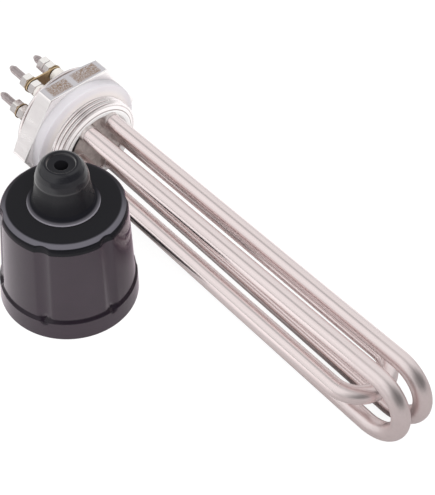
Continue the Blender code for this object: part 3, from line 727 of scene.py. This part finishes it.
def plug_grid(columns=336):
    """The plug's skin as one grid: each row is a station of the profile, each column an angle.

    The hexagon's corners are a little blunted. The collar's radius follows a helix: a ridge
    once in each pitch along X, moved by a pitch in one turn round. The ridges fade out towards
    the hexagon and are cut by a slope at the rim. The spigot's thread is made the same way.
    """
    angle = np.arange(columns) * TAU / columns
    hexagon = np.minimum(hexagon_radius(angle, FLAT_RADIUS), CORNER_RADIUS - CORNER_BREAK)

    def ridge_at(x, start, pitch):
        """0 in a groove and 1 on a ridge of a helix: a smooth and a clipped wave, mixed."""
        turn = (x - start) / pitch - angle / TAU
        wave = np.abs(2 * (turn - np.floor(turn)) - 1)
        return 0.45 * smooth_step(wave, 0.08, 0.92) + 0.55 * np.clip(1.25 * wave - 0.125, 0, 1)

    rows = list(refine(round_corners([
        (PLATE_FACE, 0.0), (PLATE_FACE, DISH_FLOOR), (COLLAR_LENGTH, DISH_EDGE),
        (COLLAR_LENGTH, RIM_RADIUS)], 0.3 * MM), 1.5 * MM))
    notch = COLLAR_LENGTH - RIM_NOTCH
    for x in np.linspace(COLLAR_LENGTH - 0.02 * MM, 0.4 * MM, 150):
        ridge = ridge_at(x, THREAD_START, THREAD_PITCH) * smooth_step(x, *THREAD_RUNOUT)
        limit = RIM_RADIUS + (COLLAR_LENGTH - x) + max(0.0, notch - x) * NOTCH_SLOPE
        rows.append((x, np.minimum(COLLAR_RADIUS - THREAD_DEPTH * (1 - ridge), limit)))
    floor = COLLAR_RADIUS - THREAD_DEPTH
    rows.append((0.0, floor))
    rows.extend((0.0, floor + share * (hexagon - EDGE_BREAK - floor))
                for share in np.linspace(0.04, 1, 8))
    rows.append((-0.1 * MM, hexagon - 0.1 * MM))
    rows.append((-EDGE_BREAK, hexagon))
    edge = -HEX_THICKNESS + (hexagon - CHAMFER_RADIUS) * CHAMFER_SLOPE
    rows.extend((-EDGE_BREAK + share * (edge + EDGE_BREAK), hexagon)
                for share in np.linspace(0, 1, 10)[1:])
    rows.extend((edge + share * (-HEX_THICKNESS - edge),
                 hexagon + share * (CHAMFER_RADIUS - hexagon))
                for share in np.linspace(0, 1, 7)[1:])
    for x in np.linspace(-HEX_THICKNESS - 0.05 * MM, SPIGOT_END + 0.02 * MM, 60):
        ridge = ridge_at(x, SPIGOT_THREAD_START, SPIGOT_PITCH)
        limit = SPIGOT_RADIUS - 0.4 * MM + (x - SPIGOT_END)
        rows.append((x, np.minimum(SPIGOT_RADIUS - SPIGOT_GROOVE * (1 - ridge), limit)))
    rows.extend((SPIGOT_END, share * (SPIGOT_RADIUS - SPIGOT_GROOVE))
                for share in np.linspace(0.95, 0, 8))
    return turned(rows, columns)


def loop_path(root, bend, bend_x, end):
    """An element's centre line as (x, across): straight, spreading a little, and a half turn."""
    legs_x = np.concatenate([np.linspace(end, COLLAR_LENGTH, 12)[:-1],
                             np.linspace(COLLAR_LENGTH, bend_x, 90)[:-1]])
    share = np.clip((legs_x - COLLAR_LENGTH) / (bend_x - COLLAR_LENGTH), 0, 1)
    legs = np.stack([legs_x, root + (bend - root) * share], axis=-1)
    angle = np.linspace(math.pi / 2, -math.pi / 2, 73)
    turn = np.stack([bend_x + bend * np.cos(angle), bend * np.sin(angle)], axis=-1)
    back = legs[::-1] * np.array([1.0, -1.0])
    return np.concatenate([legs, turn, back])


def build_sheaths():
    """Three hollow tubes bent to a U, each one closed skin: outside, ends and bore."""
    for element, side in (("front", -LOOP_SIDE), ("rear", LOOP_SIDE), ("middle", 0.0)):
        if element == "middle":
            flat = loop_path(MIDDLE_ROOT, MIDDLE_BEND, MIDDLE_BEND_X, TUBE_END)
            path = np.stack([flat[:, 0], flat[:, 1], np.zeros(len(flat))], axis=-1)
            normal = (0.0, 0.0, 1.0)
        else:
            flat = loop_path(LOOP_ROOT, LOOP_BEND, LOOP_BEND_X, TUBE_END)
            path = np.stack([flat[:, 0], np.full(len(flat), side), flat[:, 1]], axis=-1)
            normal = (0.0, 1.0, 0.0)
        outer = swept(path, TUBE_RADIUS, TUBE_COLUMNS, normal)
        inner = swept(path, TUBE_BORE, TUBE_COLUMNS, normal)[::-1]
        skin = heater_to_world(np.concatenate([outer, inner]))
        add_piece(f"tube_{element}", [(skin, True, True)], tube_steel,
                  (f"sheath_{element}",))


def build_braze_rings():
    """A fillet of braze round each tube, in front of the tube plate and behind the plug."""
    for leg, centre in LEGS.items():
        fillet = round_corners([
            (PLATE_FACE - 0.2 * MM, TUBE_RADIUS - 0.2 * MM),
            (PLATE_FACE - 0.2 * MM, TUBE_RADIUS + 0.6 * MM),
            (PLATE_FACE + 0.9 * MM, TUBE_RADIUS + 0.35 * MM),
            (PLATE_FACE + 3.0 * MM, TUBE_RADIUS + 0.25 * MM),
            (PLATE_FACE + 3.4 * MM, TUBE_RADIUS - 0.2 * MM)], 0.4 * MM, closed=True)
        collar = round_corners([
            (SPIGOT_END + 0.2 * MM, TUBE_RADIUS - 0.2 * MM),
            (SPIGOT_END - 1.2 * MM, TUBE_RADIUS - 0.2 * MM),
            (SPIGOT_END - 0.9 * MM, TUBE_RADIUS + 0.35 * MM),
            (SPIGOT_END + 0.2 * MM, TUBE_RADIUS + 1.2 * MM)], 0.4 * MM, closed=True)
        add_piece(f"braze_{leg}", [(turned(fillet, TUBE_COLUMNS, centre), True, True),
                                   (turned(collar, TUBE_COLUMNS, centre), True, True)],
                  braze)


def build_tube_plate():
    """The dull floor of the collar's dish, a thin disc that the tubes stand in."""
    section = [(PLATE_FACE - 0.3 * MM, 0.0), (PLATE_FACE + 0.05 * MM, 0.0),
               (PLATE_FACE + 0.05 * MM, DISH_FLOOR), (PLATE_FACE - 0.3 * MM, DISH_FLOOR)]
    add_piece("tube_plate_floor", [(turned(refine(section, 2.0 * MM), 96), False, True)],
              plate_steel)


def build_sealing_ring():
    """The sealing ring: a soft section that swells towards the collar, turned round it."""
    section = round_corners([
        (RING_BACK, RING_INNER), (RING_FRONT + RING_SWELL, RING_INNER),
        (RING_FRONT - 0.3 * MM, RING_OUTER), (RING_BACK, RING_OUTER)], 0.8 * MM, steps=8)
    add_piece("ring_silicone_seal", [(turned(section, 180), True, True)], silicone,
              ("sealing_ring",))


def nut_grid(middle, centre, columns=72):
    """A nut as a grid: a hexagon cut by a cone at each end, as each end's chamfer is.

    The rows of one half are repeated in a mirror for the other.
    """
    angle = np.arange(columns) * TAU / columns
    hexagon = hexagon_radius(angle, NUT_FLAT)
    half = THICKNESS["inner_nut"] / 2
    face = NUT_FLAT * 0.985
    cone = half - np.maximum(hexagon - face, 0) * NUT_SLOPE
    rows = [(half - 0.3 * MM, STUD_HOLE), (half, STUD_HOLE + 0.35 * MM), (half, face),
            (cone, hexagon), (cone * 0.3, hexagon)]
    rows += [(-station, radius) for station, radius in reversed(rows)]
    return turned([(middle + station, radius) for station, radius in rows], columns, centre)


def stud_grid(reach, centre, columns=28):
    """A stud with a helical thread behind the plug, a plain pin inside and a blunt cone tip."""
    angle = np.arange(columns) * TAU / columns
    rows = [(PIN_FRONT, 0.0), (PIN_FRONT, PIN_RADIUS), (PIN_END, PIN_RADIUS)]
    for x in np.arange(PIN_END - TOUCH, -reach + STUD_TIP, -STUD_PITCH / 6):
        turn = x / STUD_PITCH - angle / TAU
        wave = np.abs(2 * (turn - np.floor(turn)) - 1)
        rows.append((x, STUD_RADIUS - STUD_THREAD_DEPTH * wave))
    rows += round_corners([(-reach + STUD_TIP, STUD_RADIUS - 0.5 * STUD_THREAD_DEPTH),
                           (-reach + 0.25 * STUD_TIP, 0.55 * STUD_RADIUS), (-reach, 0.0)],
                          0.6 * MM)
    return turned(rows, columns, centre)


def build_terminals():
    """Studs, beads, nuts and washers, stacked outwards from each tube's end."""
    for leg, centre in LEGS.items():
        add_piece(f"stud_{leg}", [(stud_grid(STUD_REACH[leg], centre), False, True)], stud_steel,
                  (f"terminal_stud_{leg}",))
        shoulder = TUBE_END - TOUCH
        seat = shoulder - BEAD_LENGTH[leg]
        bead = round_corners([
            (TUBE_END + 3.0 * MM, STUD_HOLE), (TUBE_END + 3.0 * MM, NOSE_RADIUS),
            (shoulder, NOSE_RADIUS), (shoulder, BEAD_RADIUS), (seat, BEAD_RADIUS),
            (seat, STUD_HOLE)], 0.35 * MM, closed=True)
        add_piece(f"bead_{leg}", [(turned(bead, 40, centre), True, True)], ceramic,
                  (f"insulator_{leg}",))
        for kind in STACK[leg]:
            middle = seat - TOUCH - THICKNESS[kind] / 2
            seat = middle - THICKNESS[kind] / 2
            if kind == "bridge":
                continue
            if kind == "washer":
                half = THICKNESS[kind] / 2
                section = round_corners([
                    (middle + half, STUD_HOLE), (middle + half, WASHER_RADIUS),
                    (middle - half, WASHER_RADIUS), (middle - half, STUD_HOLE)],
                    0.12 * MM, closed=True, steps=3)
                add_piece(f"flat_{kind}_{leg}", [(turned(section, 40, centre), True, True)],
                          washer_brass, (f"{kind}_{leg}",))
                continue
            add_piece(f"hexagon_{kind}_{leg}", [(nut_grid(middle, centre), True, True)],
                      nut_metal, (f"{kind}_{leg}",), sharp=25.0)


def build_cap(columns=360):
    """The cap as one closed grid: rows follow its section, columns go round.

    Between body and skirt the radius grows with a smooth step of the height. A flute is where
    a slanted cylinder bites into the wall: along the ray at an angle from the flute's middle
    the wall stands at the cylinder's near side, where that is nearer than the plain wall, with
    a soft minimum between the two. The bite fades out over the ledge, where a small round
    pocket, a bell curve of depth, ends each flute. The bore's radius follows a helix.
    """
    angle = np.arange(columns) * TAU / columns
    shoulder = [(CAP_SHOULDER - SHOULDER_WIDTH * (1 - math.cos(turn)),
                 CAP_SHOULDER_Z + SHOULDER_DROP * math.sin(turn))
                for turn in np.linspace(math.pi / 2, 0, 14)]
    outside = refine([(CAP_HOLE, CAP_HEIGHT)] + shoulder + [
        (CAP_BODY - (LEDGE_TOP - CAP_SKIRT_HEIGHT) * CAP_TAPER, LEDGE_TOP)], 0.9 * MM)
    heights = np.concatenate([np.linspace(LEDGE_TOP - 0.1 * MM, FLUTE_FLOOR + 0.02 * MM, 16),
                              np.linspace(FLUTE_FLOOR - 0.02 * MM, LEDGE_FOOT, 12)])
    body = CAP_BODY - (heights - CAP_SKIRT_HEIGHT) * CAP_TAPER
    ledge = np.stack([body + (CAP_SKIRT_TOP - body)
                      * (1 - smooth_step(heights, LEDGE_FOOT, LEDGE_TOP)), heights], axis=-1)
    skirt = refine([(CAP_SKIRT_TOP, LEDGE_FOOT), (CAP_SKIRT, 0.3 * MM)], 0.7 * MM)[1:]
    ledge = np.concatenate([ledge, skirt])
    inside = [(CAP_SKIRT - 0.3 * MM, 0.0), (CAP_BORE + 0.4 * MM, 0.0)]
    inside += [(CAP_BORE, z) for z in np.linspace(0.3 * MM, CAP_THREAD_TOP, 60)]
    inside += [(CAP_CAVITY, CAP_CAVITY_FOOT), (CAP_CAVITY, CAP_CAVITY_TOP),
               (CAP_HOLE, CAP_CAVITY_TOP)]
    rows = np.concatenate([outside, ledge, np.array(inside)])
    radius = np.repeat(rows[:, 0:1], columns, axis=1)
    height = np.repeat(rows[:, 1:2], columns, axis=1)

    pitch = TAU / FLUTE_COUNT
    offset = np.mod(angle - FLUTE_PHASE + pitch / 2, pitch) - pitch / 2
    wall = CAP_BODY - (height - CAP_SKIRT_HEIGHT) * CAP_TAPER
    centre = wall + FLUTE_RADIUS - FLUTE_DEPTH
    under = FLUTE_RADIUS ** 2 - (centre * np.sin(offset)) ** 2
    near = centre * np.cos(offset) - np.sqrt(np.maximum(under, 0))
    near = np.where(under > 0, near, FAR_OFF)
    cut = radius - FLUTE_SOFT * np.log1p(np.exp(np.clip((radius - near) / FLUTE_SOFT, -40, 40)))
    outer = np.arange(len(rows)) < len(outside) + len(ledge)
    share = outer[:, None] * smooth_step(height, FLUTE_FLOOR - 0.2 * MM, LEDGE_TOP + 0.8 * MM)
    radius = radius + (cut - radius) * share
    spot = ((offset * CAP_BODY / POCKET_RADIUS) ** 2
            + ((height - FLUTE_FLOOR - 0.5 * MM) / POCKET_RADIUS) ** 2)
    radius = radius - outer[:, None] * POCKET_DEPTH * np.exp(-spot)

    in_thread = np.abs(rows[:, 0] - CAP_BORE) < 1e-9
    turn = height[in_thread] / CAP_THREAD_PITCH + angle / TAU
    wave = np.abs(2 * (turn - np.floor(turn)) - 1)
    radius[in_thread] = CAP_BORE - 0.05 * MM + CAP_THREAD_DEPTH * wave
    points = np.stack([radius * np.cos(angle), radius * np.sin(angle), height], axis=-1)
    add_piece("cap_moulding", [(CAP_CENTRE + points, True, True)], cap_plastic,
              ("terminal_cap",))


def build_grommet():
    """The rubber grommet, a turned section of (radius, height) with soft corners."""
    foot = CAP_HEIGHT + TOUCH
    under = CAP_CAVITY_TOP - TOUCH
    top = GROMMET_TOP
    outline = [
        (GROMMET_BORE, top - 1.6 * MM), (6.3 * MM, top - 1.6 * MM), (6.4 * MM, top - 0.15 * MM),
        (7.2 * MM, top)]
    head = [(8.6 * MM, 80.6 * MM), (10.2 * MM, 78.6 * MM), (11.3 * MM, 76.0 * MM),
            (11.95 * MM, 73.4 * MM), (11.95 * MM, 72.6 * MM)]
    neck = [(12.3 * MM, 70.0 * MM), (12.5 * MM, 68.0 * MM), (12.8 * MM, 66.0 * MM),
            (13.2 * MM, 63.5 * MM), (13.6 * MM, 60.8 * MM), (14.3 * MM, 59.4 * MM),
            (GROMMET_FOOT - 0.4 * MM, foot + 0.85 * MM), (GROMMET_FOOT, foot + 0.4 * MM),
            (GROMMET_FOOT, foot)]
    inside = [(GROMMET_PLUG, foot), (GROMMET_PLUG, under), (11.0 * MM, under),
              (10.6 * MM, under - 1.5 * MM), (GROMMET_BORE, under - 1.5 * MM)]
    section = round_corners(outline + head + neck + inside, 0.5 * MM, closed=True)
    add_piece("grommet_moulding", [(turned_upright(section, 144), True, True)], rubber,
              ("cable_grommet",), sharp=50.0)


def dress_kept_nodes():
    """Finishes for the nodes that keep their own solids."""
    finishes = {"bridge_link": bridge_brass, "magnesia_fill": powder, "heating_coil": wire}
    for node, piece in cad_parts.items():
        for start, finish in finishes.items():
            if node.startswith(start):
                piece.data.materials.clear()
                piece.data.materials.append(finish)


# The camera, solved from the photograph's perspective of the part
VIEW_AZIMUTH = math.radians(45.033)
VIEW_ELEVATION = math.radians(47.866)
VIEW_ROLL = math.radians(2.61)
VIEW_DISTANCE = 651.6 * MM
VIEW_AIM = np.array([95.394, 3.818, 20.0]) * MM
FOCAL_PIXELS = 1396.6
PHOTO_HEIGHT = 495
SENSOR = 36.0

# The studio: a floor just under the part, one softbox and how far the dark end is dimmed
FLOOR_REACH = 4.0
FLOOR_LEVEL = -0.2 * MM
LAMP_PLACE = (0.85, -0.45, 1.05)
LAMP_SIZE = 0.6
LAMP_POWER = 11.0
DARK_END = 0.82


def build_camera():
    """A camera at the photograph's angle, distance and roll."""
    level = math.cos(VIEW_ELEVATION)
    away = np.array([math.sin(VIEW_AZIMUTH) * level, -math.cos(VIEW_AZIMUTH) * level,
                     math.sin(VIEW_ELEVATION)])
    right = np.array([math.cos(VIEW_AZIMUTH), math.sin(VIEW_AZIMUTH), 0.0])
    up = np.cross(away, right)
    rolled_right = right * math.cos(VIEW_ROLL) + up * math.sin(VIEW_ROLL)
    rolled_up = -right * math.sin(VIEW_ROLL) + up * math.cos(VIEW_ROLL)
    bench_shift = HEATER_ORIGIN * np.array([1.0, 1.0, 0.0])
    place = VIEW_AIM + bench_shift + away * VIEW_DISTANCE
    data = bpy.data.cameras.new("photo_camera")
    data.sensor_fit = "AUTO"
    data.sensor_width = SENSOR
    data.lens = FOCAL_PIXELS * SENSOR / PHOTO_HEIGHT
    data.clip_start = 0.01
    data.clip_end = 50.0
    camera = bpy.data.objects.new("photo_camera", data)
    matrix = np.eye(4)
    matrix[:3, 0] = rolled_right
    matrix[:3, 1] = rolled_up
    matrix[:3, 2] = away
    matrix[:3, 3] = place
    camera.matrix_world = Matrix(matrix.tolist())
    bpy.context.scene.collection.objects.link(camera)
    bpy.context.scene.camera = camera


def build_floor():
    """A wide pale floor; to the camera it is nearly white with a faint shadow.

    What the part mirrors of it is a bench with painted shade: greyer under the heater and towards
    its bends.
    """
    mesh = bpy.data.meshes.new("floor")
    corners = [(x * FLOOR_REACH, y * FLOOR_REACH, FLOOR_LEVEL)
               for x, y in ((-1, -1), (1, -1), (1, 1), (-1, 1))]
    mesh.from_pydata(corners, [], [(0, 1, 2, 3)])
    floor = bpy.data.objects.new("floor", mesh)
    bpy.context.scene.collection.objects.link(floor)
    material = bpy.data.materials.new("white_bench")
    material.use_nodes = True
    links = material.node_tree.links
    shader = shader_of(material)
    shader.inputs["Roughness"].default_value = 0.9
    shader.inputs["Specular IOR Level"].default_value = 0.0
    shader.inputs["Emission Color"].default_value = (1.0, 1.0, 1.0, 1.0)
    seen = material.node_tree.nodes.new("ShaderNodeLightPath").outputs["Is Camera Ray"]
    along, across, _, _ = frame_axes(material)
    # Painted shade in what the part mirrors: the bench is greyer under the heater and towards its
    # bends.
    away = rise(material, math_node(material, "ABSOLUTE", across), 15.0 * MM, 70.0 * MM)
    bench = blend_colours(material, away, (0.64, 0.63, 0.63), (0.95, 0.94, 0.94))
    bench = blend_colours(material, rise(material, along, 110.0 * MM, 240.0 * MM), bench,
                          (0.43, 0.41, 0.41))
    links.new(blend_colours(material, seen, bench, (0.20, 0.20, 0.20)),
              shader.inputs["Base Color"])
    links.new(spread_value(material, seen, 0.0, 0.88), shader.inputs["Emission Strength"])
    floor.data.materials.append(material)


def build_world():
    """A studio of soft walls: bright at the front and the back, with a dim seam overhead.

    The brightness depends on the angle round the X axis, from the front horizon (0) over the
    top (0.5) to the back horizon (1), and falls off towards +X, where the room is dark.
    """
    world = bpy.data.worlds.new("soft_studio")
    world.use_nodes = True
    nodes = world.node_tree.nodes
    links = world.node_tree.links
    nodes.clear()
    x, y, z = split_axes(world, nodes.new("ShaderNodeTexCoord").outputs["Generated"])
    turn = math_node(world, "ARCTAN2", z, math_node(world, "MULTIPLY", y, -1.0))
    ramp = nodes.new("ShaderNodeValToRGB")
    stops = ((0.0, 0.45), (0.02, 0.45), (0.05, 0.85), (0.25, 1.0), (0.42, 0.92), (0.47, 0.50),
             (0.53, 0.50), (0.58, 0.90), (0.85, 0.85), (0.97, 0.70))
    elements = ramp.color_ramp.elements
    while len(elements) < len(stops):
        elements.new(0.5)
    for element, (position, value) in zip(elements, stops):
        element.position = position
        element.color = (value, value, value, 1.0)
    links.new(math_node(world, "DIVIDE", turn, math.pi), ramp.inputs["Fac"])
    dimmed = combine(world, "MULTIPLY", rise(world, x, 0.15, 0.75),
                     math_node(world, "MULTIPLY", rise(world, z, -0.02, 0.22), DARK_END))
    left = math_node(world, "SUBTRACT", 1.0, dimmed)
    path = nodes.new("ShaderNodeLightPath")
    strength = nodes.new("ShaderNodeMix")
    strength.inputs[2].default_value = 1.0
    links.new(path.outputs["Is Glossy Ray"], strength.inputs[0])
    links.new(left, strength.inputs[3])
    studio = nodes.new("ShaderNodeBackground")
    links.new(ramp.outputs["Color"], studio.inputs["Color"])
    links.new(strength.outputs[0], studio.inputs["Strength"])
    white = nodes.new("ShaderNodeBackground")
    white.inputs["Color"].default_value = (1.0, 1.0, 1.0, 1.0)
    mix = nodes.new("ShaderNodeMixShader")
    links.new(path.outputs["Is Camera Ray"], mix.inputs["Fac"])
    links.new(studio.outputs[0], mix.inputs[1])
    links.new(white.outputs[0], mix.inputs[2])
    output = nodes.new("ShaderNodeOutputWorld")
    links.new(mix.outputs[0], output.inputs["Surface"])
    bpy.context.scene.world = world


def build_lamp():
    """One softbox above the part, a little towards the camera."""
    data = bpy.data.lights.new("softbox", "AREA")
    data.shape = "RECTANGLE"
    data.size = LAMP_SIZE
    data.size_y = LAMP_SIZE
    data.energy = LAMP_POWER
    lamp = bpy.data.objects.new("softbox", data)
    lamp.location = LAMP_PLACE
    lamp.visible_glossy = False
    x, y, z = LAMP_PLACE
    lamp.rotation_euler = (math.atan2(math.hypot(x, y), z), 0.0, math.atan2(-y, -x) - math.pi / 2)
    bpy.context.scene.collection.objects.link(lamp)


build_camera()
build_floor()
build_world()
build_lamp()
add_piece("plug_body", [(plug_grid(), False, True)], plug_steel, ("hex_plug",),
          sharp=50.0)
build_sheaths()
build_tube_plate()
build_braze_rings()
build_sealing_ring()
build_terminals()
build_cap()
build_grommet()
dress_kept_nodes()
# In the photo the cap and its grommet aren't mirrored in the tubes
for unmirrored in ("cap_moulding", "grommet_moulding"):
    bpy.data.objects[unmirrored].visible_glossy = False
bpy.context.scene.view_settings.view_transform = "Standard"
